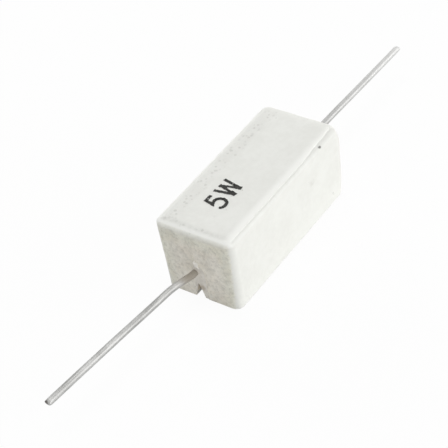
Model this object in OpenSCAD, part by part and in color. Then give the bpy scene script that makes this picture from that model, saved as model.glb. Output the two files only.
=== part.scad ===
// Axial power resistor: a pressed ceramic case, open below, holds a wirewound element in cement.
// The origin is the centre of the underside. X runs along the leads and Z is up.

/* [Case] */
// Length of the case at its top
case_l = 22.2; // [20:0.1:30]
// Width of the case at its top
case_w = 9.95; // [8.5:0.05:14]
// Height of the case
case_h = 9.6; // [8.5:0.1:13]
// Lean of the long walls, inward toward the underside, in degrees
side_draft = 1.2; // [0:0.05:3]
// Lean of the end walls, inward toward the underside, in degrees
end_draft = 0.9; // [0:0.05:3]
// Radius of the upright corners
corner_r = 1; // [0.95:0.05:2]
// Radius of the edge round the top
edge_r = 0.4; // [0.3:0.05:0.45]
// Distance from the case's faces to the line that the punch left on the top
press_inset = 0.5; // [0.5:0.05:0.8]
// Height of the step at the punch's line
press_step = 0.04; // [0.02:0.01:0.1]
// Width of the sloping band inside the punch's line
band_w = 0.95; // [0.4:0.05:1.5]
// Rise of the sloping band to the flat top
band_rise = 0.14; // [0.05:0.01:0.3]
// Radius of the edge round the underside
rim_r = 0.28; // [0.1:0.02:0.5]

/* [Cavity] */
// Thickness of the long walls at the underside
side_wall = 1.25; // [1:0.05:2]
// Thickness of the end walls at the underside
end_wall = 1.35; // [1:0.05:2]
// Thickness of the top
roof = 1.6; // [1:0.05:2.2]
// Lean of the cavity's walls, inward toward the top, in degrees
cavity_draft = 1.5; // [0.5:0.1:3]
// Radius of the cavity's upright corners
cavity_corner_r = 0.9; // [0.6:0.05:1.2]
// Radius between the cavity's walls and its top
cavity_top_r = 0.7; // [0.3:0.05:0.9]

/* [Lead slots] */
// Width of the slot in each end wall
slot_w = 1.5; // [1.45:0.05:1.6]
// Width of the open notch at the underside of each slot
notch_w = 1.42; // [1:0.02:2]
// Height of the notch's point above the underside
notch_h = 2.2; // [1:0.1:2.6]
// Depth of the notch from the end of the case
notch_depth = 1.9; // [1:0.1:2.4]

/* [Cement] */
// Depth of the cement's surface inside the rim
cement_recess = 0.2; // [0.05:0.05:0.6]
// Distance that the cement stands out round each lead
plug_l = 0.25; // [0.1:0.05:0.5]
// Step between the slot's wall and the cement that stands out
plug_step = 0.03; // [0.02:0.01:0.04]

/* [Element] */
// Diameter of the wound core
core_d = 3.6; // [3:0.1:4]
// Length of the wound core
core_l = 14; // [12:0.5:15]
// Diameter of the resistance wire
wire_d = 0.3; // [0.2:0.02:0.4]
// Turns of resistance wire on the core
wire_turns = 12; // [6:1:14]
// Clearance between the core and the wire
wire_gap = 0.03; // [0.02:0.01:0.06]
// Thickness of the pressed end caps
cap_t = 0.35; // [0.2:0.05:0.5]
// Length of core inside each end cap
cap_grip = 2.05; // [1.5:0.05:2.5]
// Distance of the element from the case's middle plane
element_y = 0.25; // [0:0.05:0.25]

/* [Leads] */
// Diameter of the leads
lead_d = 0.8; // [0.6:0.05:0.8]
// Height of the leads above the underside
lead_z = 4; // [3.6:0.1:4.6]
// Distance of each lead's tip from the case's middle
tip_x = 33.2; // [26:0.2:45]
// Inside radius of the bend where a lead leaves the cement
exit_bend_r = 2.1; // [1:0.1:4]
// Angle of the front lead's exit bend, in degrees
front_exit_deg = 17; // [5:0.5:20]
// Angle at which the front lead then bends back, in degrees
front_back_deg = 11.6; // [2:0.1:20]
// Inside radius of the front lead's bend back
front_back_r = 9.6; // [2:0.1:14]
// Angle of the rear lead's exit bend, in degrees
rear_exit_deg = 12; // [5:0.5:20]
// Angle at which the rear lead then bends back, in degrees
rear_back_deg = 13.8; // [2:0.1:20]
// Inside radius of the rear lead's bend back
rear_back_r = 11.6; // [2:0.1:14]
// Extra radius of the wire where it is bent
bend_swell = 0.002; // [0.001:0.001:0.01]
// Straight length between a lead's two bends
bend_gap = 1.5; // [0.5:0.1:4]

/* [Hidden] */
round_fn = 64;
form_fn = 32;
wire_fn = 6;
turn_steps = 20;
layer = 0.02;
over = 1;
lead_r = lead_d / 2;
core_r = core_d / 2;
cap_r = core_r + cap_t;
wire_r = wire_d / 2;
slot_r = slot_w / 2;
foot_l = case_l - 2 * case_h * tan(end_draft);
foot_w = case_w - 2 * case_h * tan(side_draft);
shelf_z = case_h - band_rise - press_step;
edge_z = shelf_z - edge_r;
edge_l = foot_l + 2 * edge_z * tan(end_draft);
edge_w = foot_w + 2 * edge_z * tan(side_draft);
mouth_l = foot_l - 2 * end_wall;
mouth_w = foot_w - 2 * side_wall;
ceiling_z = case_h - roof;
ceiling_l = mouth_l - 2 * ceiling_z * tan(cavity_draft);
ceiling_w = mouth_w - 2 * ceiling_z * tan(cavity_draft);
face_x = foot_l / 2 + lead_z * tan(end_draft);
element_end = core_l / 2 + cap_t;
cap_mouth = core_l / 2 - cap_grip;
wind_half = cap_mouth - wire_r;
wind_r = core_r + wire_gap + wire_r;
room_r = max(cap_r, wind_r + wire_r);
exit_x = face_x + plug_l;
exit_mid_r = exit_bend_r + lead_r;
front_back_mid_r = front_back_r + lead_r;
rear_back_mid_r = rear_back_r + lead_r;

// Places a shape at the four corners of a rectangle
module at_corners(l, w, r, z) {
    for (x = [-1, 1], y = [-1, 1])
        translate([x * (l / 2 - r), y * (w / 2 - r), z])
            children();
}

// Disc with a rounded rim, as a corner of a moulded form
module rounded_disc(r, edge) {
    rotate_extrude($fn = form_fn)
        union() {
            intersection() {
                translate([r - edge, 0])
                    circle(r = edge, $fn = form_fn);
                translate([0, -edge])
                    square([r, 2 * edge]);
            }
            translate([0, -edge])
                square([r - edge, 2 * edge]);
        }
}

// Walls of the case with the rounded edge round their top
module wall_form() {
    hull() {
        at_corners(foot_l, foot_w, corner_r, rim_r)
            rounded_disc(corner_r, rim_r);
        at_corners(edge_l, edge_w, corner_r, edge_z)
            rounded_disc(corner_r, edge_r);
    }
}

// Punched middle of the top: a small step, a sloping band and the flat
module top_form() {
    panel_l = edge_l - 2 * press_inset;
    panel_w = edge_w - 2 * press_inset;
    panel_r = corner_r - press_inset;
    hull() {
        at_corners(panel_l, panel_w, panel_r, edge_z)
            cylinder(h = edge_r + press_step, r = panel_r, $fn = form_fn);
        at_corners(panel_l - 2 * band_w, panel_w - 2 * band_w, panel_r, case_h - layer)
            cylinder(h = layer, r = panel_r, $fn = form_fn);
    }
}

// Inside of the case, run on past the underside at the same lean
module cavity_form() {
    spread = 2 * over * tan(cavity_draft);
    hull() {
        at_corners(mouth_l + spread, mouth_w + spread, cavity_corner_r, -over)
            cylinder(h = layer, r = cavity_corner_r, $fn = form_fn);
        at_corners(ceiling_l, ceiling_w, cavity_corner_r, ceiling_z - cavity_top_r)
            rounded_disc(cavity_corner_r, cavity_top_r);
    }
}

// Slot through one end wall, round at the lead and open below
module slot_form(x0, x1) {
    translate([x0, 0, lead_z])
        rotate([0, 90, 0])
            cylinder(h = x1 - x0, r = slot_r, $fn = round_fn);
    translate([x0, -slot_r, -over])
        cube([x1 - x0, slot_w, lead_z + over]);
}

// Pointed notch under a lead
module notch_form() {
    slope = notch_w / 2 / notch_h;
    translate([foot_l / 2 - notch_depth, element_y, 0])
        rotate([90, 0, 90])
            linear_extrude(height = notch_depth + over)
                polygon([[-notch_w / 2 - slope * over, -over], [notch_w / 2 + slope * over, -over], [0, notch_h]]);
}

// Copies a shape to both ends of the case
module both_ends() {
    children();
    mirror([1, 0, 0])
        children();
}

module ceramic_case() {
    color([0.93, 0.93, 0.9])
        difference() {
            union() {
                wall_form();
                top_form();
            }
            cavity_form();
            both_ends() {
                slot_form(ceiling_l / 2 - over, case_l);
                notch_form();
            }
        }
}

// Cement that stands out of a slot's round end
module plug_form() {
    plug_r = slot_r - plug_step;
    translate([face_x - end_wall / 2, 0, lead_z])
        rotate([0, 90, 0])
            cylinder(h = end_wall / 2, r = plug_r, $fn = round_fn);
    translate([face_x, 0, lead_z])
        rotate([0, 90, 0])
            cylinder(h = plug_l, r1 = plug_r, r2 = plug_r - plug_step, $fn = round_fn);
}

// Room that the wound element takes in the cement
module element_form() {
    translate([0, element_y, lead_z])
        rotate([0, 90, 0]) {
            cylinder(h = 2 * element_end, r = room_r, center = true, $fn = round_fn);
            cylinder(h = 2 * case_l, r = lead_r, center = true, $fn = round_fn);
        }
}

module cement_fill() {
    color([0.82, 0.81, 0.77])
        difference() {
            union() {
                cavity_form();
                intersection() {
                    both_ends()
                        slot_form(ceiling_l / 2 - over, case_l);
                    wall_form();
                }
                both_ends()
                    plug_form();
            }
            translate([-case_l, -case_w, cement_recess - case_h])
                cube([2 * case_l, 2 * case_w, case_h]);
            both_ends()
                notch_form();
            element_form();
        }
}

module core_rod() {
    color([0.95, 0.94, 0.9])
        translate([0, element_y, lead_z])
            rotate([0, 90, 0])
                cylinder(h = core_l, r = core_r, center = true, $fn = round_fn);
}

// Ring of points round the helix at turn angle a
function wire_ring(a) =
    let (x = -wind_half + 2 * wind_half * a / (360 * wire_turns))
    [for (k = [0 : wire_fn - 1])
        let (b = 360 * k / wire_fn, r = wind_r + wire_r * cos(b))
        [x + wire_r * sin(b), r * cos(a), r * sin(a)]];

module resistance_wire() {
    rings = wire_turns * turn_steps;
    points = [for (i = [0 : rings]) each wire_ring(i * 360 / turn_steps)];
    sides = [for (i = [0 : rings - 1], k = [0 : wire_fn - 1])
        let (n = (k + 1) % wire_fn)
        [i * wire_fn + k, i * wire_fn + n, (i + 1) * wire_fn + n, (i + 1) * wire_fn + k]];
    first = [for (k = [wire_fn - 1 : -1 : 0]) k];
    last = [for (k = [0 : wire_fn - 1]) rings * wire_fn + k];
    color([0.6, 0.55, 0.5])
        translate([0, element_y, lead_z])
            polyhedron(points = points, faces = concat(sides, [first, last]));
}

// Pressed cup over one end of the core, with the lead welded to it
module end_cap() {
    color([0.75, 0.75, 0.74])
        translate([0, element_y, lead_z])
            rotate([0, 90, 0])
                difference() {
                    translate([0, 0, cap_mouth])
                        cylinder(h = element_end - cap_mouth, r = cap_r, $fn = round_fn);
                    translate([0, 0, cap_mouth - over])
                        cylinder(h = cap_grip + over, r = core_r, $fn = round_fn);
                }
}

module end_cap_front() {
    mirror([1, 0, 0])
        end_cap();
}

module end_cap_rear() {
    end_cap();
}

// Straight wire along X that runs a little into the bends at its ends
module straight_wire(l, lap0, lap1) {
    translate([-lap0, 0, 0])
        rotate([0, 90, 0])
            cylinder(h = lap0 + l + lap1, r = lead_r, $fn = round_fn);
}

// Wire bent toward +Y through angle a
module bent_wire(r, a) {
    translate([0, r, 0])
        rotate([0, 0, -90])
            rotate_extrude(angle = a, $fn = 4 * round_fn)
                translate([r, 0])
                    circle(r = lead_r + bend_swell, $fn = round_fn);
}

// Moves on past a bend toward +Y
module after_bend(r, a) {
    translate([r * sin(a), r * (1 - cos(a)), 0])
        rotate([0, 0, a])
            children();
}

// Lead with a bend at the cement, a bend back and a straight end
module lead(exit_deg, back_deg, back_r) {
    bend_x = exit_mid_r * sin(exit_deg) + bend_gap * cos(exit_deg);
    back_x = back_r * (sin(exit_deg) - sin(exit_deg - back_deg));
    end_l = (tip_x - exit_x - bend_x - back_x) / cos(exit_deg - back_deg);
    color([0.8, 0.8, 0.78])
        translate([element_end, element_y, lead_z]) {
            straight_wire(exit_x - element_end, 0, layer);
            translate([exit_x - element_end, 0, 0]) {
                bent_wire(exit_mid_r, exit_deg);
                after_bend(exit_mid_r, exit_deg) {
                    straight_wire(bend_gap, layer, layer);
                    translate([bend_gap, 0, 0])
                        mirror([0, 1, 0]) {
                            bent_wire(back_r, back_deg);
                            after_bend(back_r, back_deg)
                                straight_wire(end_l, layer, 0);
                        }
                }
            }
        }
}

module lead_front() {
    mirror([1, 0, 0])
        lead(front_exit_deg, front_back_deg, front_back_mid_r);
}

module lead_rear() {
    lead(rear_exit_deg, rear_back_deg, rear_back_mid_r);
}

ceramic_case();
cement_fill();
core_rod();
resistance_wire();
end_cap_front();
end_cap_rear();
lead_front();
lead_rear();
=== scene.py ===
import math

import bmesh
import bpy
import numpy as np
from mathutils import Matrix, Vector


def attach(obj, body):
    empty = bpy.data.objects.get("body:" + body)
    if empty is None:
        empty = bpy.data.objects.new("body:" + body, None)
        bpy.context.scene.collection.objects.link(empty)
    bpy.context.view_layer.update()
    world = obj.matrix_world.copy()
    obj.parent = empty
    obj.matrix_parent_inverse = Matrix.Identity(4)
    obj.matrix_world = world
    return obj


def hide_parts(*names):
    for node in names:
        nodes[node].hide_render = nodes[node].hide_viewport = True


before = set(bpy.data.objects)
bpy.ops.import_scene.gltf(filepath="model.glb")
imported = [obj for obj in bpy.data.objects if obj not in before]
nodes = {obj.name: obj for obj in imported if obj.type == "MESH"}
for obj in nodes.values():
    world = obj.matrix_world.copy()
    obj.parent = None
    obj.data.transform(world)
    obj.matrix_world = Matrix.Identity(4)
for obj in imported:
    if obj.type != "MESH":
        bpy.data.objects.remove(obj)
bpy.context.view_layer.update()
mm = 0.001
perMm = (1000.0, 1000.0, 1000.0)  # scale from metres to millimetres
print("packed resistor loaded")


# shader maths: an expression on Wire values adds its Math nodes
class Wire:
    def __init__(self, finish, socket):
        self.finish = finish
        self.socket = socket

    def math(self, operation, a, b=0.0):
        return self.finish.add("ShaderNodeMath", {"operation": operation}, {0: a, 1: b})

    def __add__(self, other):
        return self.math("ADD", self, other)

    def __radd__(self, other):
        return self.math("ADD", other, self)

    def __sub__(self, other):
        return self.math("SUBTRACT", self, other)

    def __rsub__(self, other):
        return self.math("SUBTRACT", other, self)

    def __mul__(self, other):
        return self.math("MULTIPLY", self, other)

    def __rmul__(self, other):
        return self.math("MULTIPLY", other, self)

    def __abs__(self):
        return self.math("ABSOLUTE", self)

    def sqrt(self):
        return self.math("SQRT", self)

    def clamp(self):
        return self.finish.add("ShaderNodeClamp", {}, {"Value": self})


class Finish:
    # the node tree of one material or of the world, and the method that adds any node
    def __init__(self, owner, output="ShaderNodeOutputMaterial"):
        owner.use_nodes = True
        self.owner = owner
        self.tree = owner.node_tree
        self.tree.nodes.clear()
        self.out = self.tree.nodes.new(output)

    def add(self, kind, settings=None, values=None, out=0):
        node = self.tree.nodes.new(kind)
        for key, value in (settings or {}).items():
            setattr(node, key, value)
        for key, value in (values or {}).items():
            self.feed(node.inputs[key], value)
        return Wire(self, node.outputs[out])

    def feed(self, socket, value):
        if isinstance(value, Wire):
            self.tree.links.new(value.socket, socket)
        else:
            socket.default_value = value

    def close(self, shader):
        self.feed(self.out.inputs["Surface"], shader)
        return self.owner

    def surface(self, colour, rough, values):
        values = {"Base Color": colour, "Roughness": rough, **values}
        return self.close(self.add("ShaderNodeBsdfPrincipled", {}, values))

    def place(self, scale=(1.0, 1.0, 1.0)):
        where = self.add("ShaderNodeTexCoord", out="Object")
        return self.add("ShaderNodeMapping", {}, {"Vector": where, "Scale": scale})

    def axes(self):
        # the three object coordinates, in millimetres
        where = self.place(perMm)
        return [self.add("ShaderNodeSeparateXYZ", {}, {"Vector": where}, out=axis) for axis in "XYZ"]

    def noise(self, scale, detail=3.0, rough=0.5, stretch=(1.0, 1.0, 1.0), warp=0.0):
        values = {"Vector": self.place(stretch), "Scale": scale, "Detail": detail}
        values.update({"Roughness": rough, "Distortion": warp})
        return self.add("ShaderNodeTexNoise", {}, values)

    def cells(self, scale):
        # distance to the nearest of some scattered points
        return self.add("ShaderNodeTexVoronoi", {}, {"Vector": self.place(), "Scale": scale})

    def remap(self, value, low, high, a=0.0, b=1.0, curve="SMOOTHSTEP"):
        # a at low, b at high and a smooth step between
        return self.add("ShaderNodeMapRange", {"interpolation_type": curve},
                        {"Value": value, "From Min": low, "From Max": high, "To Min": a, "To Max": b})

    def hill(self, value, inner, outer):
        # 1 below the inner limit, 0 above the outer one
        return self.remap(value, inner, outer, 1.0, 0.0)

    def spot(self, place, inner, outer):
        # 1 inside the inner radius round a place in millimetres, 0 outside the outer one
        ends = {0: self.place(perMm), 1: place}
        apart = self.add("ShaderNodeVectorMath", {"operation": "DISTANCE"}, ends, out="Value")
        return self.hill(apart, inner, outer)

    def blend(self, share, a, b, mode="MIX"):
        settings = {"data_type": "RGBA", "blend_type": mode}
        return self.add("ShaderNodeMix", settings, {0: share, 6: a, 7: b}, out=2)

    def mixed(self, share, a, b):
        # a mix of two plain colours
        return self.blend(share, tone(a), tone(b))

    def paint(self, colour, share, tint, mode="MIX"):
        # a plain colour laid over what is there
        return self.blend(share, colour, tone(tint), mode)

    def bump(self, height, strength, distance, before=None):
        values = {"Height": height, "Strength": strength, "Distance": distance}
        if before is not None:
            values["Normal"] = before
        return self.add("ShaderNodeBump", {}, values)

    def seen(self):
        # 1 for what the camera, a reflection or glass shows
        kinds = ("Is Camera Ray", "Is Glossy Ray", "Is Transmission Ray")
        camera, glossy, through = (self.add("ShaderNodeLightPath", out=kind) for kind in kinds)
        return (camera + glossy + through).clamp()


def newFinish(name):
    return Finish(bpy.data.materials.new(name))


def tone(colour):
    return (*colour, 1.0)


white = tone((1.0, 1.0, 1.0))


# numpy helpers for the surfaces
def hashValue(cell, seed):
    # repeatable number from 0 to 1 for each whole-number lattice cell
    mix = cell[..., 0] * 73856093 ^ cell[..., 1] * 19349663 ^ cell[..., 2] * 83492791 ^ (seed * 2654435761)
    mix = (mix ^ (mix >> 13)) * 1274126177 & 0xFFFFFFFF
    return ((mix ^ (mix >> 16)) & 0xFFFF) / 65535.0


def latticeNoise(points, size, seed):
    # values at the lattice corners round each point, blended with a smooth step, from -1 to 1
    grid = points / size + 1000.0
    cell = np.floor(grid).astype(np.int64)
    part = grid - cell
    part = part * part * (3 - 2 * part)
    total = np.zeros(points.shape[:-1])
    for corner in range(8):
        step = np.array([corner & 1, corner >> 1 & 1, corner >> 2 & 1])
        weight = np.prod(np.where(step == 1, part, 1 - part), axis=-1)
        total += weight * hashValue(cell + step, seed)
    return 2 * total - 1


def softStep(value, low, high):
    # 0 below low, 1 above high, smooth between
    part = np.clip((value - low) / (high - low), 0, 1)
    return part * part * (3 - 2 * part)


def runLength(line):
    # distance along a line of points, from its first one
    return np.concatenate([[0], np.cumsum(np.linalg.norm(np.diff(line, axis=0), axis=1))])


def gridFaces(rows, columns, closed=False, flip=False):
    # quads between neighbouring rows and columns of a grid; closed joins the last column to the first
    i = np.arange(rows - 1)[:, None]
    j = np.arange(columns if closed else columns - 1)[None, :]
    k = (j + 1) % columns
    corners = (i * columns + j, i * columns + k, (i + 1) * columns + k, (i + 1) * columns + j)
    quads = np.stack(np.broadcast_arrays(*corners), -1).reshape(-1, 4)
    return quads[:, ::-1] if flip else quads


def makePiece(name, parts, smooth=True, weld=2e-7):
    # joins several grids into one mesh, merges the seams and turns the faces outwards
    points = []
    faces = []
    count = 0
    for grid, quads in parts:
        flat = np.asarray(grid, float).reshape(-1, 3)
        points.append(flat)
        faces += [tuple(q) for q in (np.asarray(quads) + count).tolist()]
        count += len(flat)
    mesh = bpy.data.meshes.new(name)
    mesh.from_pydata((np.concatenate(points) * mm).tolist(), [], faces)
    work = bmesh.new()
    work.from_mesh(mesh)
    bmesh.ops.remove_doubles(work, verts=work.verts, dist=weld)
    bmesh.ops.dissolve_degenerate(work, dist=weld, edges=work.edges)
    bmesh.ops.recalc_face_normals(work, faces=work.faces)
    work.to_mesh(mesh)
    work.free()
    mesh.polygons.foreach_set("use_smooth", [smooth] * len(mesh.polygons))
    piece = bpy.data.objects.new(name, mesh)
    bpy.context.scene.collection.objects.link(piece)
    return piece


def closeEnds(piece):
    # one face over each open ring
    work = bmesh.new()
    work.from_mesh(piece.data)
    bmesh.ops.holes_fill(work, edges=[e for e in work.edges if e.is_boundary], sides=0)
    bmesh.ops.recalc_face_normals(work, faces=work.faces)
    work.to_mesh(piece.data)
    work.free()


def sharpen(piece, degrees):
    # edges steeper than this stay crisp
    limit = math.radians(degrees)
    work = bmesh.new()
    work.from_mesh(piece.data)
    for edge in work.edges:
        edge.smooth = len(edge.link_faces) == 2 and edge.calc_face_angle(0.0) < limit
    work.to_mesh(piece.data)
    work.free()


def coat(piece, material):
    piece.data.materials.clear()
    piece.data.materials.append(material)


def dress(piece, material, slotName, *stands):
    coat(piece, material)
    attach(piece, "root")
    if stands:
        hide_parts(*stands)
    return piece


# ceramic case, in millimetres and degrees: half loops of a rounded rectangle, carried along its section
casePlan = dict(length=22.2, width=9.95, height=9.6, endDraft=0.9, sideDraft=1.2, cornerRadius=1.0,
                edgeRadius=0.4, inset=0.5, step=0.04, band=0.95, bandRise=0.14, innerRadius=0.5,
                rimRadius=0.28, sideWall=1.25, endWall=1.35, roof=1.6, cavityDraft=1.5, cavityCorner=0.9,
                slotHalf=0.75, notchHalf=0.71, notchHigh=2.2, notchSide=0.25, leadHigh=4.0, slotEdge=0.05,
                mouthEdge=0.1, loopCounts=(26, 12, 150))
# how many rows each stretch of the section has
caseRows = dict(top=30, band=10, edge=9, wall=18, arch=12, slot=20, rim=6, cavity=5)
# rows across the line left by the punch: how far in, how far below the shelf, and the share of the groove
punchLine = ((0.485, -0.015, 0.5), (0.465, 0.01, 1.0), (0.435, 0.015, 1.0), (0.415, 0.0, 0.4))
# the moulding's unevenness; a bend of the punch's line has its start and end along X and its depth
mouldPlan = dict(waviness=0.022, grain=0.009, groove=0.008, lineAt=0.45, lineSpread=(0.22, 0.4),
                 lineBend=((3.8, 7.0, 0.25), (8.2, 10.7, 0.15)), easeFrom=-9.9, easeLength=0.6,
                 fullEnd=0.09, fullCorner=0.3)
# small marks in the moulding: place, radius, depth
caseMarks = [((7.0, -4.5, 9.42), 0.2, 0.16), ((-2.4, -4.8, 0.1), 0.34, 0.16),
             ((-7.94, -0.84, 9.6), 0.16, 0.05), ((10.9, 2.1, 0.2), 0.3, 0.1), ((3.0, 4.8, 0.2), 0.25, 0.09),
             ((-5.6, 4.85, 8.6), 0.18, 0.07), ((11.1, -5.0, 9.6), 0.9, 0.3)]
endLean = math.tan(math.radians(casePlan["endDraft"]))
sideLean = math.tan(math.radians(casePlan["sideDraft"]))
cavityLean = math.tan(math.radians(casePlan["cavityDraft"]))
footLength = casePlan["length"] - 2 * casePlan["height"] * endLean
footWidth = casePlan["width"] - 2 * casePlan["height"] * sideLean
mouthLength = footLength - 2 * casePlan["endWall"]
mouthWidth = footWidth - 2 * casePlan["sideWall"]
shelfHigh = casePlan["height"] - casePlan["bandRise"] - casePlan["step"]
edgeHigh = shelfHigh - casePlan["edgeRadius"]
edgeLength = footLength + 2 * edgeHigh * endLean
edgeWidth = footWidth + 2 * edgeHigh * sideLean


def slotOpening(z, side):
    # half width of the slot: the notch's slanted mouth, then straight, then a half circle over the lead
    p = casePlan
    mouth = p["notchHalf"] * (1 - z / p["notchHigh"]) + side * p["notchSide"]
    straight = np.where(z <= p["leadHigh"], p["slotHalf"], 0.0)
    inside = p["slotHalf"] ** 2 - (z - p["leadHigh"]) ** 2
    arch = np.where(z > p["leadHigh"], np.sqrt(np.maximum(inside, 0.0)), straight)
    return np.maximum(arch, np.where(z < p["leadHigh"], mouth, 0.0))


def halfLoop(length, width, radius, opening, z, counts):
    # +Y half of a rounded rectangle, from the front slot's edge round to the rear slot's, a row for each z:
    # straight end, quarter circle, straight side, quarter circle, straight end
    endCount, arcCount, sideCount = counts
    t = np.linspace(0, 1, endCount) ** 1.6
    a = np.linspace(0, np.pi / 2, arcCount + 1)[1:]
    s = np.linspace(0, 1, sideCount + 1)[1:]
    sizes = (length / 2, width / 2, radius, opening, z)
    endX, sideY, r, slot, high = (np.asarray(size, float)[:, None] for size in sizes)
    yEnd = slot + (sideY - r - slot) * t
    first = np.stack([-endX + 0 * yEnd, yEnd, high + 0 * yEnd], -1)
    arc = np.stack([-endX + r - r * np.cos(a), sideY - r + r * np.sin(a), high + 0 * a], -1)
    xSide = (-endX + r) + (2 * endX - 2 * r) * s
    straight = np.stack([xSide, sideY + 0 * xSide, high + 0 * xSide], -1)
    arcBack = np.stack([endX - r + r * np.sin(a), sideY - r + r * np.cos(a), high + 0 * a], -1)
    last = (first * [-1, 1, 1])[:, ::-1][:, 1:]
    return np.concatenate([first, arc, straight, arcBack, last], axis=1)


def wallRow(z):
    # a loop of the outer wall, which leans outward with height
    length, width = footLength + 2 * z * endLean, footWidth + 2 * z * sideLean
    return (length, width, casePlan["cornerRadius"], z, 0.0, 0.0)


def cavityRow(z):
    # a loop of the cavity's wall, which leans inward with height
    lean = 2 * z * cavityLean
    return (mouthLength - lean, mouthWidth - lean, casePlan["cavityCorner"], z, 0.0, 0.0)


def topRow(inset, z, groove=0.0, ease=0.0):
    # a loop of the top, set in from the edge
    p = casePlan
    across = max(edgeWidth - 2 * inset, 0.0)
    radius = min(max(p["cornerRadius"] - inset, p["innerRadius"]), across / 2)
    return (edgeLength - 2 * inset, across, radius, z, groove, ease)


def caseSection():
    # one row for each loop: length, width, corner radius, height, share of the punch's groove, and the height
    # eased away at the front end; down from the top's middle line, round the rim and up to the ceiling
    p, n = casePlan, caseRows
    flat = p["inset"] + p["band"]
    outer = [topRow(inset, p["height"]) for inset in np.linspace(edgeWidth / 2, flat + 0.08, n["top"])]
    for share in np.linspace(0, 1, n["band"]):
        outer.append(topRow(flat - p["band"] * share, p["height"] - p["bandRise"] * share ** 2))
    for inset, drop, groove in punchLine:
        outer.append(topRow(inset, shelfHigh - drop, groove, p["step"] + drop - 0.3 * (p["inset"] - inset)))
    for angle in np.radians(np.linspace(90, 0, n["edge"])):
        inset = p["edgeRadius"] * (1 - math.cos(angle))
        rise = math.sin(angle)
        outer.append(topRow(inset, edgeHigh + p["edgeRadius"] * rise, 0.0, 0.01 * rise))
    slotTop = p["leadHigh"] + p["slotHalf"]
    upper = np.linspace(edgeHigh - 0.12, slotTop + 0.15, n["wall"])
    arch = p["leadHigh"] + p["slotHalf"] * np.cos(np.linspace(0, np.pi / 2, n["arch"]))
    lower = np.linspace(p["leadHigh"], p["rimRadius"], n["slot"])[1:]
    outer += [wallRow(z) for z in np.concatenate([upper, arch, lower])]
    bends = np.radians(np.linspace(0, 90, n["rim"])[1:])
    inner = [cavityRow(z) for z in np.concatenate([arch, lower])]
    for angle in bends:
        turn = 1 - math.cos(angle)
        z = p["rimRadius"] * (1 - math.sin(angle))
        inset = p["rimRadius"] * turn
        outer.append((footLength - 2 * inset, footWidth - 2 * inset, p["cornerRadius"] - inset, z, 0.0, 0.0))
        out = p["mouthEdge"] * turn
        inner.append((mouthLength + 2 * out, mouthWidth + 2 * out, p["cavityCorner"] + out, z, 0.0, 0.0))
    inner = inner[::-1]
    last, first = np.array(outer[-1]), np.array(inner[0])
    rim = [tuple(last * (1 - share) + first * share) for share in (0.25, 0.5, 0.75)]
    ceiling = p["height"] - p["roof"]
    upward = [cavityRow(z) for z in np.linspace(slotTop, ceiling - 0.5, n["cavity"])[1:]]
    length, width = upward[-1][:2]
    for inset, z in ((0.15, ceiling - 0.2), (0.5, ceiling)):
        upward.append((length - 2 * inset, width - 2 * inset, p["cavityCorner"] - inset, z, 0.0, 0.0))
    upward.append((length - width, 0.0, 0.0, ceiling, 0.0, 0.0))
    return np.array(outer + rim + inner + upward), len(outer), len(arch) + len(lower) + len(bends)


def breakSlotEdge(half, opening, width, outerEnd):
    # the slot's outer edge falls back along a small quarter circle, which also meets the rim's flat part
    edge = casePlan["slotEdge"]
    reach = np.clip((half[..., 1] - opening[:, None]), 0, edge)
    ease = edge - np.sqrt(np.maximum(edge ** 2 - (edge - reach) ** 2, 0.0))
    onEnd = np.abs(half[..., 1]) < width[:, None] / 2 - 1.6
    fall = np.sign(half[..., 0]) * ease * np.clip(opening / 0.3, 0, 1)[:, None] * onEnd
    half[:outerEnd, :, 0] -= fall[:outerEnd]
    half[outerEnd:outerEnd + 3, :, 0] -= fall[outerEnd - 1] * np.array([0.75, 0.5, 0.25])[:, None]


def outward(points):
    # direction from the nearest point of a smaller box inside the case: square on the faces, turning on edges
    half = np.array([footLength / 2 - 1.0, footWidth / 2 - 1.0, (edgeHigh - 1.0) / 2])
    away = points - np.array([0, 0, edgeHigh / 2])
    away = away - np.clip(away, -half, half)
    size = np.linalg.norm(away, axis=-1, keepdims=True)
    return away / np.maximum(size, 1e-6)


def mouldSkin(loop, section, skin):
    # outward by waves of three sizes, less the punch's groove and the marks, and fading at the underside;
    # along the axes by the line's bend, the eased step and the fuller rear corner
    p = mouldPlan
    x, y, z = (loop[..., axis] for axis in range(3))
    width, height, groove, ease = (section[:, column][:, None] for column in (1, 3, 4, 5))
    soft = latticeNoise(loop, 2.6, 3) * p["waviness"] + latticeNoise(loop, 0.9, 5) * p["grain"]
    soft += latticeNoise(loop, 0.33, 11) * p["grain"] * 0.7
    soft -= p["waviness"] + 1.7 * p["grain"]  # keeps the skin inside the case's own size
    soft -= p["groove"] * groove * np.clip((x + 10.2) / 2.4, 0, 1) * np.clip(-y / 0.8, 0, 1)
    # the punch's line on the -Y side bends inward along the rear half
    inset = (edgeWidth - width) / 2
    spread = np.where(inset < p["lineAt"], *p["lineSpread"])
    near = np.exp(-((inset - p["lineAt"]) / spread) ** 2) * (height > edgeHigh)
    inward = sum(depth * softStep(x, low, high) for low, high, depth in p["lineBend"])
    y += near * inward * np.clip(-y / 2, 0, 1)
    z += ease * np.clip((p["easeFrom"] - x) / p["easeLength"], 0, 1)
    # the rear end is fuller at half height, and most of all at the upright corner of the -Y side
    soft += p["fullEnd"] * softStep(x, 9.5, 10.8) * np.sin(np.pi * np.clip(z / 9.2, 0, 1))
    corner = softStep(x, 9.8, 10.9) * softStep(-y, 0.8, 3.2)
    corner = corner * softStep(z, 0.0, 1.5) * softStep(casePlan["height"] - z, 0.5, 2.2)
    x += p["fullCorner"] * corner * (0.7 + z * 0.033) * skin
    for place, radius, depth in caseMarks:
        apart = np.linalg.norm(loop - np.array(place), axis=-1)
        soft -= depth * np.exp(-(apart / radius) ** 2)
    return loop + outward(loop) * (soft * skin * softStep(z, 0.0, 0.5))[..., None]


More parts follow.
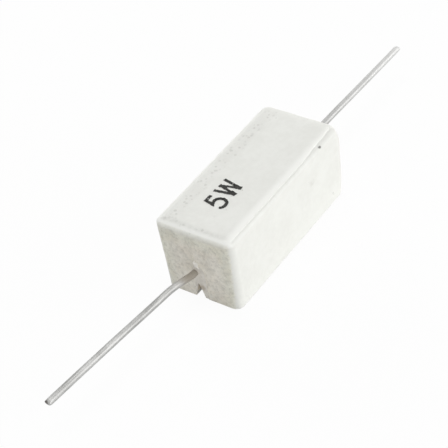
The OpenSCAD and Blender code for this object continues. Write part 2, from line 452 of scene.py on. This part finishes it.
def buildCase():
    # both halves, each a grid of loops, and in each slot a strip straight from the outer wall to the cavity
    p = casePlan
    section, outerEnd, slotRows = caseSection()
    length, width, radius, height = section[:, :4].T
    skin = (np.arange(len(section)) < outerEnd)[:, None]
    parts = []
    for side in (1, -1):
        opening = slotOpening(height, side)
        opening[skin[:, 0] & (height > p["leadHigh"] + p["slotHalf"] + 1e-9)] = 0.0
        half = halfLoop(length, width, radius, opening, height, p["loopCounts"])
        breakSlotEdge(half, opening, width, outerEnd)
        columns = half.shape[1]
        moved = mouldSkin(half * [1, side, 1], section, skin)
        parts.append((moved, gridFaces(len(section), columns, flip=side == -1)))
        innerFirst = outerEnd + 3
        for column in (0, columns - 1):
            outerEdge = moved[outerEnd - slotRows:outerEnd, column]
            innerEdge = moved[innerFirst:innerFirst + slotRows, column][::-1]
            across = np.linspace(0, 1, 5)[None, :, None]
            strip = outerEdge[:, None, :] * (1 - across) + innerEdge[:, None, :] * across
            parts.append((strip, gridFaces(slotRows, 5, flip=(column == 0) == (side == 1))))
    piece = makePiece("caseShell", parts, weld=3e-7)
    sharpen(piece, 50)
    return piece


caseFinish = dict(light=(0.848, 0.853, 0.815), shade=(0.808, 0.811, 0.771), pit=(0.42, 0.41, 0.38),
                  paintedLight=(0.94, 0.945, 0.91), wiped=(1.125, 1.08, 1.028), smearDark=(0.855, 0.855, 0.845),
                  smearBrown=(0.985, 0.968, 0.945), smearGreen=(0.965, 0.992, 0.97),
                  smearFleck=(0.845, 0.845, 0.84), smudge=(0.55, 0.54, 0.5), hole=(0.12, 0.12, 0.11),
                  rough=0.62, roughSpread=0.12, roughPit=0.2, grainSize=2600.0, pitScale=1800.0)
# where the marks and the painted light and shade lie, in millimetres, and how strongly each shows
caseWearAndPaintedLight = dict(topFrom=(9.25, 9.38), upperFrom=(8.9, 9.2), sideBand=3.35, frontBand=10.1, crust=10.45,
                crease=4.48, creaseFrom=(-10.2, -7.8), paintedLightRear=(10.35, 10.8), paintedLightFront=(-10.2, -10.6),
                paintedLightFar=(4.1, 4.7), paintedLightSeen=(-3.4, -4.3), paintedLightLine=(-4.66, -4.52), footLightHigh=(0.2, 3.2),
                footLightSeen=(-4.2, -4.6), endFrom=(10.72, 10.95), endTop=(8.5, 9.3, 1.0, 0.35),
                endSides=(2.4, 4.2), endUpper=(6.8, 8.6), smudgeAt=(4.68, -4.88, 6.05),
                holeAt=(7.03, -4.78, 9.45), dotAt=(8.66, -4.75, 1.48), pitShare=0.75, borderShare=0.05,
                crustShare=0.13, creaseShare=0.2, paintedLightShare=0.8, footLightShare=0.3, smudgeShare=0.3,
                holeShare=0.88)


def pitCover(f, x, y, onTop):
    # pits crowd two borders of the punched top, and a few are loose; gives the borders and the pits
    p, w = caseFinish, caseWearAndPaintedLight
    drift = (f.noise(300.0, 2.0, 0.5) - 0.5) * 0.7
    sideBand = f.hill(abs(y - w["sideBand"] + drift), 0.35, 0.95)
    frontBand = f.hill(abs(x + w["frontBand"] + drift * 0.5), 0.1, 0.45)
    borders = (sideBand + frontBand).clamp() * onTop
    dots = f.hill(f.cells(p["pitScale"]) + (f.noise(3200.0, 2.0, 0.6) - 0.5) * 0.3, 0.14, 0.42)
    chance = f.remap(f.noise(700.0, 2.0, 0.5), 0.34, 0.56, 0.16, 0.4)
    loose = f.hill(f.cells(900.0), 0.05, 0.1) * f.remap(f.noise(330.0, 1.0, 0.5), 0.56, 0.66)
    return borders, (borders * dots * chance + loose * 0.7).clamp()


def markTop(f, colour, x, y, z):
    # pits painted dark, as painted shade in the hollows, and grain on the borders; painted shade along the
    # punch's line; and painted light: edges painted paler, widest along the seen side
    p, w = caseFinish, caseWearAndPaintedLight
    onTop = f.remap(z, *w["topFrom"])
    upper = f.remap(z, *w["upperFrom"])
    borders, pits = pitCover(f, x, y, onTop)
    # painted shade in the hollows: the pits, and faintly the borders they crowd, are painted darker
    colour = f.paint(colour, pits * w["pitShare"], p["pit"])
    colour = f.paint(colour, borders * w["borderShare"], p["pit"])
    crust = f.remap(f.noise(2300.0, 3.0, 0.65), 0.44, 0.62) * f.hill(abs(x + w["crust"]), 0.25, 0.75)
    colour = f.paint(colour, crust * upper * w["crustShare"], p["pit"])
    first, second = (f.remap(x, low, high, 0.0, depth) for low, high, depth in mouldPlan["lineBend"])
    bend = first + second
    # painted shade along the punch's line, beside the step in the geometry
    crease = f.hill(abs(y - bend + w["crease"]), 0.05, 0.24) * onTop * f.remap(x, *w["creaseFrom"])
    colour = f.paint(colour, crease * w["creaseShare"], p["pit"])
    # painted light: the top's ends, its far edge and the band along the seen side are painted paler
    nearX = f.remap(x, *w["paintedLightRear"]) * 0.4 + f.remap(x, *w["paintedLightFront"])
    nearY = f.remap(y, *w["paintedLightFar"])
    wide = f.remap(y, *w["paintedLightSeen"]) * f.remap(y - bend, *w["paintedLightLine"])
    paintedLight = (nearX + nearY + wide).clamp() * upper
    return f.paint(colour, paintedLight * w["paintedLightShare"], p["paintedLight"]), pits


def wipeEnds(f, colour, x, y, z):
    # cement wiped over the ends: a warmer tint, multiplied by patches, flecks, brown clouds and a greener rim
    p, w = caseFinish, caseWearAndPaintedLight
    fray = f.noise(1700.0, 4.0, 0.7) - 0.5
    wiped = f.remap(abs(x) + fray * 0.35, *w["endFrom"]) * f.remap(z, *w["endTop"])
    patch = f.remap(f.noise(900.0, 6.0, 0.75), 0.38, 0.64)
    fleck = f.remap(f.noise(2500.0, 3.0, 0.6), 0.45, 0.66)
    cloud = f.remap(f.noise(480.0, 4.0, 0.65, warp=0.4), 0.4, 0.64)
    border = (f.remap(abs(y), *w["endSides"]) + f.remap(z, *w["endUpper"])).clamp()
    colour = f.paint(colour, wiped, p["wiped"], "MULTIPLY")
    smears = ((patch, "smearDark"), (fleck, "smearFleck"), (cloud, "smearBrown"), (border, "smearGreen"))
    for share, tint in smears:
        colour = f.paint(colour, wiped * share, p[tint], "MULTIPLY")
    return colour


def ceramicFinish():
    f = newFinish("pressedCeramic")
    p, w = caseFinish, caseWearAndPaintedLight
    x, y, z = f.axes()
    cloud = f.noise(260.0, 4.0, 0.6)
    mottle = f.noise(1500.0, 3.0, 0.6)
    colour = f.mixed(f.remap(cloud * 0.6 + mottle * 0.4, 0.36, 0.66), p["shade"], p["light"])
    colour, pits = markTop(f, colour, x, y, z)
    # painted light: the lower part of the seen side is painted paler
    foot = f.hill(z, *w["footLightHigh"]) * f.remap(y, *w["footLightSeen"])
    colour = f.paint(colour, foot * w["footLightShare"], p["paintedLight"])
    colour = wipeEnds(f, colour, x, y, z)
    smudge = f.spot(w["smudgeAt"], 0.1, 0.7) * f.remap(f.noise(900.0, 3.0, 0.6), 0.38, 0.58)
    colour = f.paint(colour, smudge * w["smudgeShare"], p["smudge"])
    # painted shade: the small hole is painted almost black, and a faint dark dot lower down
    hole = (f.spot(w["holeAt"], 0.16, 0.32) + f.spot(w["dotAt"], 0.04, 0.17) * 0.35).clamp()
    colour = f.paint(colour, hole * w["holeShare"], p["hole"])
    grain = f.noise(p["grainSize"], 4.0, 0.62)
    rough = p["rough"] + p["roughSpread"] * (grain - 0.5) + p["roughPit"] * pits
    coarse = f.bump(f.noise(420.0, 2.0, 0.5), 0.25, 0.00012)
    fine = f.bump(grain, 0.32, 0.00005, coarse)
    normal = f.bump(1.0 - pits, 0.8, 0.00008, fine)
    return f.surface(colour, rough, {"Normal": normal, "Specular IOR Level": 0.38})


caseShell = dress(buildCase(), ceramicFinish(), "case_ceramic", "ceramic_case")
print("ceramic case:", len(caseShell.data.polygons), "faces")


# cement: a block with a poured underside, and a lug in each slot with the open notch
cementPlan = dict(recess=0.2, dip=0.16, creep=0.14, roughness=0.05, top=7.6, pouredRows=34,
                  loopCounts=(24, 9, 120), leadRadius=0.4, leadSide=0.25, collarWide=0.3, collarLong=0.2,
                  notchDeep=1.9, sink=0.035, spread=0.012, lugFoot=0.24, lugCount=200, lugRough=0.03,
                  lugRings=(0.03, 0.1, 0.5, 1.0, 1.5, 1.9))


def buildCementBlock():
    # rounded-rectangle loops: in from the cavity wall across the poured face, and up the wall to a flat top
    p, c = cementPlan, casePlan
    rows = []
    for inset in mouthWidth / 2 * np.linspace(1, 0, p["pouredRows"]) ** 1.25:
        corner = max(c["cavityCorner"] - inset, 0.0)
        rows.append((mouthLength - 2 * inset, mouthWidth - 2 * inset, corner, p["recess"], inset))
    for z in (0.8, 3.0, p["top"]):
        rows.append(cavityRow(z)[:5])
    length, width = rows[-1][:2]
    rows.append((length - width, 0.0, 0.0, p["top"], 0.0))
    rows = np.array(rows)
    closed = np.zeros(len(rows))
    half = halfLoop(rows[:, 0], rows[:, 1], rows[:, 2], closed, rows[:, 3], p["loopCounts"])
    poured = (np.arange(len(rows)) < p["pouredRows"])[:, None]
    inset = rows[:, 4][:, None]
    parts = []
    for side in (1, -1):
        loop = half * [1, side, 1]
        level = p["dip"] * (1 - np.exp(-inset / 0.9)) - p["creep"] * np.exp(-inset / 0.18)
        rough = latticeNoise(loop, 1.4, 21) * 0.6 + latticeNoise(loop, 0.45, 22) * 0.3
        rough += latticeNoise(loop, 0.2, 23) * 0.14
        loop[..., 2] += poured * (level + p["roughness"] * rough * np.clip(inset / 0.3, 0.15, 1))
        # the two ends fall away into the notches
        depth = footLength / 2 - p["notchDeep"] - np.abs(loop[..., 0])
        slope = np.abs(loop[..., 1] - c["notchSide"]) * c["notchHigh"] / c["notchHalf"]
        fall = np.clip(c["notchHigh"] - slope - p["recess"], 0, None)
        loop[..., 2] += poured * fall * np.clip(-depth / 0.12, 0, 1)
        parts.append((loop, gridFaces(len(rows), half.shape[1], flip=side == 1)))
    return makePiece("cementBlock", parts)


def lugOutline(count):
    # outline of the slot filling, seen from the end: round top, straight sides and the notch's two slopes
    p, c = cementPlan, casePlan
    slot = c["slotHalf"] + p["spread"]
    foot = p["lugFoot"]
    slope = c["notchHalf"] / c["notchHigh"]
    middle = c["notchSide"]
    toe = c["notchHigh"] - (slot - middle) / slope
    heel = middle - c["notchHalf"] + foot * slope
    point = c["notchHigh"] - 0.03
    angle = np.linspace(0, np.pi, 60)
    top = np.stack([slot * np.cos(angle), c["leadHigh"] + slot * np.sin(angle)], -1)
    left = [(-slot, foot), (heel, foot), (middle - 0.05, point)]
    right = [(middle + 0.05, point), (slot, toe), (slot, c["leadHigh"])]
    line = np.concatenate([top, left, right])
    run = runLength(line)
    even = np.linspace(0, run[-1], count + 1)[:-1]
    return np.stack([np.interp(even, run, line[:, 0]), np.interp(even, run, line[:, 1])], -1)


def endFace(z):
    # distance of the lug's outer face from the middle, leaning as the end wall does
    return footLength / 2 + z * endLean - cementPlan["sink"]


def buildLug(name, end):
    # rings from the lead's surface out to the slot's outline, then back into the block;
    # the collar stands out by its length times e to the minus distance from the lead over its width
    p, c = cementPlan, casePlan
    centre = np.array([p["leadSide"], c["leadHigh"]])
    ray = lugOutline(p["lugCount"]) - centre
    far = np.linalg.norm(ray, axis=1)
    unit = ray / far[:, None]
    shares = np.linspace(0, 1, 26) ** 1.35
    start = p["leadRadius"] * 0.97
    reach = start + (far - start)[None, :] * shares[:, None]
    yz = centre + unit[None] * reach[..., None]
    gap = np.clip(reach - p["leadRadius"], 0, None)
    toEdge = far[None] - reach
    collar = p["collarLong"] * np.exp(-gap / (p["collarWide"] * 0.45)) * np.clip(toEdge / 0.12, 0, 1)
    points = np.stack([endFace(yz[..., 1]) + collar, yz[..., 0], yz[..., 1]], -1)
    rough = latticeNoise(points, 0.7, 31) * 0.6 + latticeNoise(points, 0.25, 32) * 0.4
    points[..., 0] += p["lugRough"] * rough * np.clip(toEdge / 0.15, 0, 1)
    rings = [points]
    for depth in p["lugRings"]:
        back = points[-1].copy()
        back[:, 0] = endFace(back[:, 2]) - depth
        shrink = 0.03 * min(depth / 0.1, 1.0)
        back[:, 1:] = centre + (back[:, 1:] - centre) * (1 - shrink / far[:, None])
        wobble = latticeNoise(back, 0.5, 33) * 0.02 * min(depth, 1.0)
        back[:, 1:] += unit * wobble[:, None]
        rings.append(back[None])
    last = rings[-1][0].copy()
    last[:, 1:] = centre + (last[:, 1:] - centre) * 0.35
    grid = np.concatenate(rings + [last[None]]) * [end, 1, 1]
    piece = makePiece(name, [(grid, gridFaces(len(grid), p["lugCount"], closed=True))])
    closeEnds(piece)
    sharpen(piece, 48)
    return piece


# crumb of cement left above the front lead
crumbPlan = dict(place=(-11.03, 0.08, 5.12), size=(0.2, 0.25, 0.5), lean=0.45, rough=0.08, rows=20,
                 columns=32)


def buildCrumb():
    # a ball from two angles, squeezed along each axis, roughened, and leaning by a share of its height
    p = crumbPlan
    polar = np.linspace(0, np.pi, p["rows"])
    turn = np.linspace(0, 2 * np.pi, p["columns"], endpoint=False)
    down, around = np.meshgrid(polar, turn, indexing="ij")
    ball = np.stack([np.sin(down) * np.cos(around), np.sin(down) * np.sin(around), np.cos(down)], -1)
    ball = ball * p["size"]
    ball = ball * (1 + latticeNoise(ball, 0.2, 91) * p["rough"] / 0.2)[..., None]
    ball[..., 1] += ball[..., 2] * p["lean"]
    return makePiece("cementCrumb", [(ball + p["place"], gridFaces(p["rows"], p["columns"], closed=True))])


cementFinish = dict(light=(0.86, 0.83, 0.77), shade=(0.74, 0.71, 0.645), stain=(0.42, 0.34, 0.25),
                    notch=(0.95, 0.85, 0.68), rough=0.8)
# the crumb's colours are a paler copy of the cement's: a painted highlight on it
crumbHighlightFinish = dict(light=(0.97, 0.95, 0.9), shade=(0.88, 0.86, 0.8), stain=(0.8, 0.76, 0.68),
                   notch=(0.74, 0.62, 0.46), rough=0.8)
# where the marks lie, in millimetres, and how strongly each shows
cementMarks = dict(speck=(0.28, 0.26, 0.22), speckShare=0.5, ring=(0.38, 0.72), ringShare=0.22,
                   notchTop=(2.0, 2.3), notchInner=(8.9, 9.2), notchOuter=(10.75, 10.86),
                   notchSides=(0.74, 0.84), notchShare=0.7, notchShadowAt=(-10.95, -0.15, 1.76),
                   notchShadowSize=(0.2, 0.58), notchShadowShare=0.6)


def cementSurface(name, p):
    f = newFinish(name)
    m = cementMarks
    x, y, z = f.axes()
    colour = f.mixed(f.remap(f.noise(900.0, 5.0, 0.65), 0.36, 0.66), p["shade"], p["light"])
    speck = f.hill(f.cells(2600.0), 0.08, 0.2) * f.remap(f.noise(1200.0, 1.0, 0.5), 0.5, 0.62)
    colour = f.paint(colour, speck * m["speckShare"], m["speck"])
    # resin creeps out brown round each lead
    ySide = y - cementPlan["leadSide"]
    zSide = z - casePlan["leadHigh"]
    fromLead = (ySide * ySide + zSide * zSide).sqrt()
    stain = f.hill(fromLead + (f.noise(1300.0, 2.0, 0.5) - 0.5) * 0.35, *m["ring"])
    colour = f.paint(colour, stain * m["ringShare"], p["stain"])
    # the notches are painted lighter and browner inside: a brown tint of the cement, and painted light that
    # lifts the shade inside the notch
    notch = f.hill(z, *m["notchTop"]) * f.remap(abs(x), *m["notchInner"])
    notch = notch * f.hill(abs(x), *m["notchOuter"]) * f.hill(abs(ySide), *m["notchSides"])
    colour = f.paint(colour, notch * m["notchShare"], p["notch"])
    # painted shadow beside the front notch, in a brown tint
    patchy = f.remap(f.noise(1100.0, 3.0, 0.6), 0.3, 0.55, 0.4, 1.0)
    notchShadow = f.spot(m["notchShadowAt"], *m["notchShadowSize"]) * patchy
    colour = f.paint(colour, notchShadow * m["notchShadowShare"], p["stain"])
    grain = f.noise(2400.0, 4.0, 0.65)
    rough = p["rough"] + (grain - 0.5) * 0.2 - stain * 0.25
    normal = f.bump(grain, 0.5, 0.00007, f.bump(f.noise(700.0, 2.0, 0.5), 0.3, 0.00015))
    return f.surface(colour, rough, {"Normal": normal, "Specular IOR Level": 0.3})


cement = cementSurface("pouredCement", cementFinish)
dress(buildCementBlock(), cement, "cement", "cement_fill")
dress(buildLug("cementLugFront", -1), cement, "cement")
dress(buildLug("cementLugRear", 1), cement, "cement")
dress(buildCrumb(), cementSurface("crumbCementHighlight", crumbHighlightFinish), "cement")
print("cement placed")


# leads: a circle carried along three straights and the two arcs between them
leadPlan = dict(radius=0.4, high=4.0, side=0.25, start=7.35, tip=33.2, plug=0.25, exitRadius=2.1, gap=1.5,
                sides=28, spacing=0.16, step=0.02, sway=0.035, swell=0.006, ripple=0.004,
                pinchLong=0.35, pinchTall=0.42, pinchWide=0.05,
                front=dict(exit=17.0, back=11.6, backRadius=9.6),
                rear=dict(exit=12.0, back=13.8, backRadius=11.6))


def leadPath(bend):
    # distance along the wire gives its heading: straight, an arc toward +Y, straight, an arc back, straight;
    # x and y are the running sums of the heading's cosine and sine, up to the tip
    p = leadPlan
    step = p["step"]
    exitX = footLength / 2 + p["high"] * endLean + p["plug"]
    outTurn, backTurn = math.radians(bend["exit"]), math.radians(bend["back"])
    arcs = (p["exitRadius"] + p["radius"]) * outTurn, (bend["backRadius"] + p["radius"]) * backTurn
    marks = np.cumsum([exitX - p["start"], arcs[0], p["gap"], arcs[1]])
    run = np.arange(0, 40, step)
    final = outTurn - backTurn
    heading = np.interp(run, [0, *marks, 60], [0, 0, outTurn, outTurn, final, final])
    x = p["start"] + np.concatenate([[0], np.cumsum(np.cos(heading[:-1]) * step)])
    y = p["side"] + np.concatenate([[0], np.cumsum(np.sin(heading[:-1]) * step)])
    last = np.searchsorted(x, p["tip"])
    end = run[last - 1] + (p["tip"] - x[last - 1]) / np.cos(heading[last - 1])
    along = np.linspace(0, end, int(end / p["spacing"]))
    return along, np.interp(along, run, x), np.interp(along, run, y), np.interp(along, run, heading)


def buildLead(name, end, bend, seed):
    # the path sways a little between the bends and the tip; the ring's size swells and pinches along it
    p = leadPlan
    along, x, y, heading = leadPath(bend)
    zero = 0 * along
    free = np.clip((along - 5.5) / 3.0, 0, 1) * np.clip((along[-1] - along) / 2.0, 0, 1)
    key = np.stack([along, zero + seed * 7.0, zero], -1)
    y = y + latticeNoise(key, 5.0, seed) * p["sway"] * free
    z = p["high"] + latticeNoise(key, 4.2, seed + 1) * p["sway"] * free
    around = np.linspace(0, 2 * np.pi, p["sides"], endpoint=False)
    swell = latticeNoise(np.stack([along, zero, zero + seed], -1), 0.8, seed + 2) * p["swell"]
    ringSize = p["radius"] - p["swell"] + swell
    # the cutter leaves the last tenths pinched to a blunt wedge
    pinch = np.clip((along - (along[-1] - p["pinchLong"])) / p["pinchLong"], 0, 1)
    side = np.cos(around)[None] * (ringSize * (1 + p["pinchWide"] * pinch))[:, None]
    up = np.sin(around)[None] * (ringSize * (1 - p["pinchTall"] * pinch ** 1.5))[:, None]
    turn = heading[:, None]
    x, y, z = (line[:, None] for line in (x, y, z))
    grid = np.stack([x - np.sin(turn) * side, y + np.cos(turn) * side, z + up], -1)
    grid[..., 2] += latticeNoise(grid, 0.3, seed + 3) * p["ripple"] * np.sin(around)[None]
    # both end faces are drawn in to their middles
    first, last = grid[0].mean(0), grid[-1].mean(0)
    rings = [(first + (grid[0] - first) * 0.02)[None], grid]
    for share, push in ((0.82, 0.025), (0.45, 0.0375), (0.02, 0.04)):
        rings.append((last + (grid[-1] - last) * share + [push, 0, 0])[None])
    grid = np.concatenate(rings)
    grid[..., 0] = np.minimum(grid[..., 0], p["tip"])
    piece = makePiece(name, [(grid * [end, 1, 1], gridFaces(len(grid), p["sides"], closed=True))])
    closeEnds(piece)
    sharpen(piece, 55)
    return piece


leadFinish = dict(bright=(0.49, 0.49, 0.48), dull=(0.33, 0.33, 0.32), stain=(0.33, 0.27, 0.19),
                  cut=(0.06, 0.045, 0.035), rearPaintedLight=(0.72, 0.72, 0.71), rough=0.44, metal=0.62,
                  rearPaintedLightAlong=(8.0, 33.0), rearPaintedLightShare=0.7, rootFrom=11.0, rootFade=(1.2, 3.4), rootShare=0.55,
                  bareAside=(0.14, 0.1), bareSize=(0.12, 0.32), bareShare=0.85)


def tinnedWire():
    f = newFinish("tinnedWire")
    p = leadFinish
    x = f.axes()[0]
    streak = f.noise(2600.0, 4.0, 0.65, (0.07, 1.0, 1.0))
    blotch = f.noise(620.0, 3.0, 0.6)
    colour = f.mixed(f.remap(streak * 0.6 + blotch * 0.4, 0.38, 0.62), p["dull"], p["bright"])
    # painted light: the wire is painted paler toward the rear tip
    rearPaintedLight = f.remap(x, *p["rearPaintedLightAlong"], 0.0, p["rearPaintedLightShare"], "LINEAR")
    colour = f.paint(colour, rearPaintedLight, p["rearPaintedLight"])
    # flux and cement darken the wire where it leaves the case, and part of the cut end is bare
    away = abs(x) - p["rootFrom"] + (f.noise(900.0, 2.0, 0.6) - 0.5) * 1.6
    root = f.hill(away, *p["rootFade"])
    colour = f.paint(colour, root * p["rootShare"], p["stain"])
    aside, above = p["bareAside"]
    for end, bend in ((-1, "front"), (1, "rear")):
        tipSide = leadPath(leadPlan[bend])[2][-1]
        place = (end * leadPlan["tip"], tipSide + aside, leadPlan["high"] + above)
        colour = f.paint(colour, f.spot(place, *p["bareSize"]) * p["bareShare"], p["cut"])
    rough = p["rough"] + (blotch - 0.5) * 0.3 + (streak - 0.5) * 0.2 + root * 0.25
    drawn = f.noise(5200.0, 2.0, 0.5, (0.06, 1.0, 1.0))
    normal = f.bump(drawn, 0.25, 0.00002, f.bump(blotch, 0.3, 0.00006))
    return f.surface(colour, rough, {"Metallic": p["metal"] - root * 0.3, "Normal": normal})


wireMetal = tinnedWire()
dress(buildLead("leadFront", -1, leadPlan["front"], 41), wireMetal, "tinned_lead", "lead_front")
dress(buildLead("leadRear", 1, leadPlan["rear"], 57), wireMetal, "tinned_lead", "lead_rear")
print("leads placed")


# rating stamped on the top: strokes of a width carried along short lines, lying on the ceramic
printPlan = dict(high=9.595, proud=0.006, ragged=0.035, spacing=0.06, columns=7, layer=0.0003)
printStrokes = [(0.36, [(-5.12, 1.42), (-6.02, 1.46), (-6.24, 0.42), (-5.95, 0.56), (-5.6, 0.62),
                        (-5.3, 0.5), (-5.08, 0.22), (-5.0, -0.12), (-5.06, -0.45), (-5.28, -0.75),
                        (-5.6, -0.88), (-5.95, -0.86), (-6.25, -0.72), (-6.42, -0.5)]),
                (0.36, [(-4.26, 1.6), (-3.84, -0.84)]), (0.3, [(-3.84, -0.84), (-3.3, 1.42)]),
                (0.3, [(-3.3, 1.42), (-2.73, -0.81)]), (0.36, [(-2.73, -0.81), (-2.26, 1.55)]),
                (0.52, [(-3.68, -0.15), (-3.87, -0.92)]), (0.5, [(-2.8, -0.2), (-2.72, -0.93)]),
                (0.48, [(-3.35, 1.22), (-3.28, 1.52)]), (0.44, [(-3.4, 0.88), (-3.48, 0.6)])]


def strokeOutline(line, half):
    # offsets a line to both sides by half its width, mitred at its corners
    line = np.array(line, float)
    step = np.diff(line, axis=0)
    step /= np.linalg.norm(step, axis=1)[:, None]
    side = np.stack([-step[:, 1], step[:, 0]], -1)
    normal = np.concatenate([side[:1], side[:-1] + side[1:], side[-1:]])
    normal /= np.linalg.norm(normal, axis=1)[:, None]
    cosine = np.concatenate([[1.0], np.sum(normal[1:-1] * side[1:], axis=1), [1.0]])
    reach = half / np.maximum(cosine, 0.42)
    line[0] -= step[0] * 0.02
    line[-1] += step[-1] * 0.02
    return line, normal * reach[:, None]


def buildStroke(width, line, seed):
    # grid along the line and across its width, with a ragged edge, top and underside
    p = printPlan
    middle, offset = strokeOutline(line, width / 2)
    run = runLength(middle)
    fine = np.unique(np.concatenate([np.arange(0, run[-1], p["spacing"]), run]))
    centre = np.stack([np.interp(fine, run, middle[:, i]) for i in (0, 1)], -1)
    reach = np.stack([np.interp(fine, run, offset[:, i]) for i in (0, 1)], -1)
    across = np.linspace(-1, 1, p["columns"])
    flat = centre[:, None] + reach[:, None] * across[None, :, None]
    level = np.ones(flat.shape[:2] + (1,))
    fray = latticeNoise(np.concatenate([flat, 0 * level], -1), 0.12, seed) * p["ragged"] / (width / 2)
    flat = flat + reach[:, None] * (np.sign(across) * np.abs(across) ** 3 * fray)[..., None]
    top = np.concatenate([flat, level * p["high"]], -1)
    low = top - [0, 0, p["proud"]]
    ring = np.concatenate([top, low[:, ::-1]], axis=1)
    return ring, gridFaces(*ring.shape[:2], closed=True)


def buildPrint():
    # every stroke lies a hair lower than the one before, so that no two share a plane
    parts = []
    for index, (width, line) in enumerate(printStrokes):
        ring, faces = buildStroke(width, line, 61 + index)
        parts.append((ring - [0, 0, printPlan["layer"] * index], faces))
    piece = makePiece("ratingPrint", parts, smooth=False)
    closeEnds(piece)
    return piece


inkFinish = dict(dark=(0.016, 0.016, 0.014), worn=(0.06, 0.06, 0.055), rough=0.55)


def stampInk():
    f = newFinish("stampInk")
    p = inkFinish
    wear = f.noise(1900.0, 4.0, 0.65)
    colour = f.mixed(f.remap(wear, 0.35, 0.7), p["dark"], p["worn"])
    covered = f.hill(f.noise(3800.0, 2.0, 0.5), 0.69, 0.75)
    rough = p["rough"] + (wear - 0.5) * 0.3
    normal = f.bump(wear, 0.2, 0.00003)
    return f.surface(colour, rough, {"Alpha": covered, "Normal": normal, "Specular IOR Level": 0.2})


dress(buildPrint(), stampInk(), "case_ceramic")
print("rating print placed")


# the wound element is sealed in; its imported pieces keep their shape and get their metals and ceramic
sealedPlan = dict(
    coreCeramic=dict(nodes=["core_rod"], light=(0.85, 0.83, 0.78), dark=(0.74, 0.71, 0.65),
                     metal=0.0, rough=0.7, size=1400.0),
    resistanceAlloy=dict(nodes=["resistance_wire"], light=(0.5, 0.45, 0.4), dark=(0.3, 0.27, 0.24),
                         metal=1.0, rough=0.35, size=2600.0),
    capSteel=dict(nodes=["end_cap_front", "end_cap_rear"], light=(0.66, 0.65, 0.62),
                  dark=(0.5, 0.49, 0.47), metal=1.0, rough=0.3, size=1200.0))


def sealedSurface(name, p):
    f = newFinish(name)
    cloud = f.noise(p["size"], 4.0, 0.6)
    colour = f.mixed(f.remap(cloud, 0.35, 0.65), p["dark"], p["light"])
    rough = p["rough"] + (cloud - 0.5) * 0.2
    return f.surface(colour, rough, {"Metallic": p["metal"], "Normal": f.bump(cloud, 0.2, 0.00004)})


for finishName, plan in sealedPlan.items():
    sealedMaterial = sealedSurface(finishName, plan)
    for nodeName in plan["nodes"]:
        coat(nodes[nodeName], sealedMaterial)
print("sealed element finished")


# floor and light, in metres; glow is the floor's share of plain white, and the rest of it keeps the shadow
stagePlan = dict(half=1.6, lines=25, sunk=0.00002, dark=(0.89, 0.89, 0.885), light=(0.91, 0.91, 0.905),
                 glow=0.94, world=0.443)
lampAim = Vector((0, 0, 0.004))
lampPlan = dict(keyLamp=dict(place=(0.13, -0.5, 0.17), size=0.6, power=2.0, mirrored=True),
                topLamp=dict(place=(0.05, 0.06, 0.55), size=0.35, power=0.785, mirrored=True),
                backLamp=dict(place=(0.25, 0.45, 0.12), size=0.3, power=1.115, mirrored=False))


def buildFloor():
    # a flat grid just below the case
    p = stagePlan
    u = np.linspace(-p["half"], p["half"], p["lines"])
    gridX, gridY = np.meshgrid(u, u, indexing="ij")
    grid = np.stack([gridX, gridY, 0 * gridX - p["sunk"]], -1) / mm
    floor = makePiece("paleFloor", [(grid, gridFaces(p["lines"], p["lines"]))], smooth=False, weld=1e-9)
    f = newFinish("paleFloor")
    wash = f.mixed(f.noise(6.0, 3.0, 0.5), p["dark"], p["light"])
    diffuse = f.add("ShaderNodeBsdfDiffuse", {}, {"Color": wash})
    glow = f.add("ShaderNodeEmission", {}, {"Color": white, "Strength": 1.0})
    coat(floor, f.close(f.add("ShaderNodeMixShader", {}, {0: f.seen() * p["glow"], 1: diffuse, 2: glow})))


def setWorld():
    # soft even light, and plain white wherever it is seen
    world = bpy.data.worlds.new("studio")
    bpy.context.scene.world = world
    f = Finish(world, "ShaderNodeOutputWorld")
    soft = f.add("ShaderNodeBackground", {}, {"Color": white, "Strength": stagePlan["world"]})
    plain = f.add("ShaderNodeBackground", {}, {"Color": white, "Strength": 1.0})
    f.close(f.add("ShaderNodeMixShader", {}, {0: f.seen(), 1: soft, 2: plain}))


def addLamp(name, p):
    # a round lamp that faces the case
    lamp = bpy.data.lights.new(name, "AREA")
    lamp.shape = "DISK"
    lamp.size = p["size"]
    lamp.energy = p["power"]
    holder = bpy.data.objects.new(name, lamp)
    holder.location = p["place"]
    holder.rotation_euler = (lampAim - Vector(p["place"])).to_track_quat("-Z", "Y").to_euler()
    holder.visible_glossy = p["mirrored"]
    bpy.context.scene.collection.objects.link(holder)


# angles in degrees, lengths in millimetres, focal length in pixels of a picture that is 448 wide
cameraPlan = dict(azimuth=-49.82, elevation=40.92, roll=-9.76, distance=164.59, right=3.209, up=2.137,
                  focal=1498.9, middle=4.8, sensor=36.0, wide=448.0)


def setCamera():
    # the view that fits the photograph's edges: back from the case's middle, turned about the line of sight
    p = cameraPlan
    azimuth, elevation, roll = (math.radians(p[k]) for k in ("azimuth", "elevation", "roll"))
    flat = math.cos(elevation)
    back = Vector((math.sin(azimuth) * flat, -math.cos(azimuth) * flat, math.sin(elevation)))
    level = Vector((0, 0, 1)).cross(back).normalized()
    upright = back.cross(level)
    right = level * math.cos(roll) + upright * math.sin(roll)
    up = upright * math.cos(roll) - level * math.sin(roll)
    place = (back * p["distance"] - right * p["right"] - up * p["up"] + Vector((0, 0, p["middle"]))) * mm
    camera = bpy.data.cameras.new("camera")
    camera.sensor_width = p["sensor"]
    camera.lens = p["focal"] * p["sensor"] / p["wide"]
    camera.clip_start = 0.01
    camera.clip_end = 10.0
    camera.dof.use_dof = False
    holder = bpy.data.objects.new("camera", camera)
    holder.matrix_world = Matrix.Translation(place) @ Matrix((right, up, back)).transposed().to_4x4()
    bpy.context.scene.collection.objects.link(holder)
    bpy.context.scene.camera = holder


buildFloor()
setWorld()
for lampName, plan in lampPlan.items():
    addLamp(lampName, plan)
setCamera()
bpy.context.scene.view_settings.view_transform = "Standard"

print("scene ready")
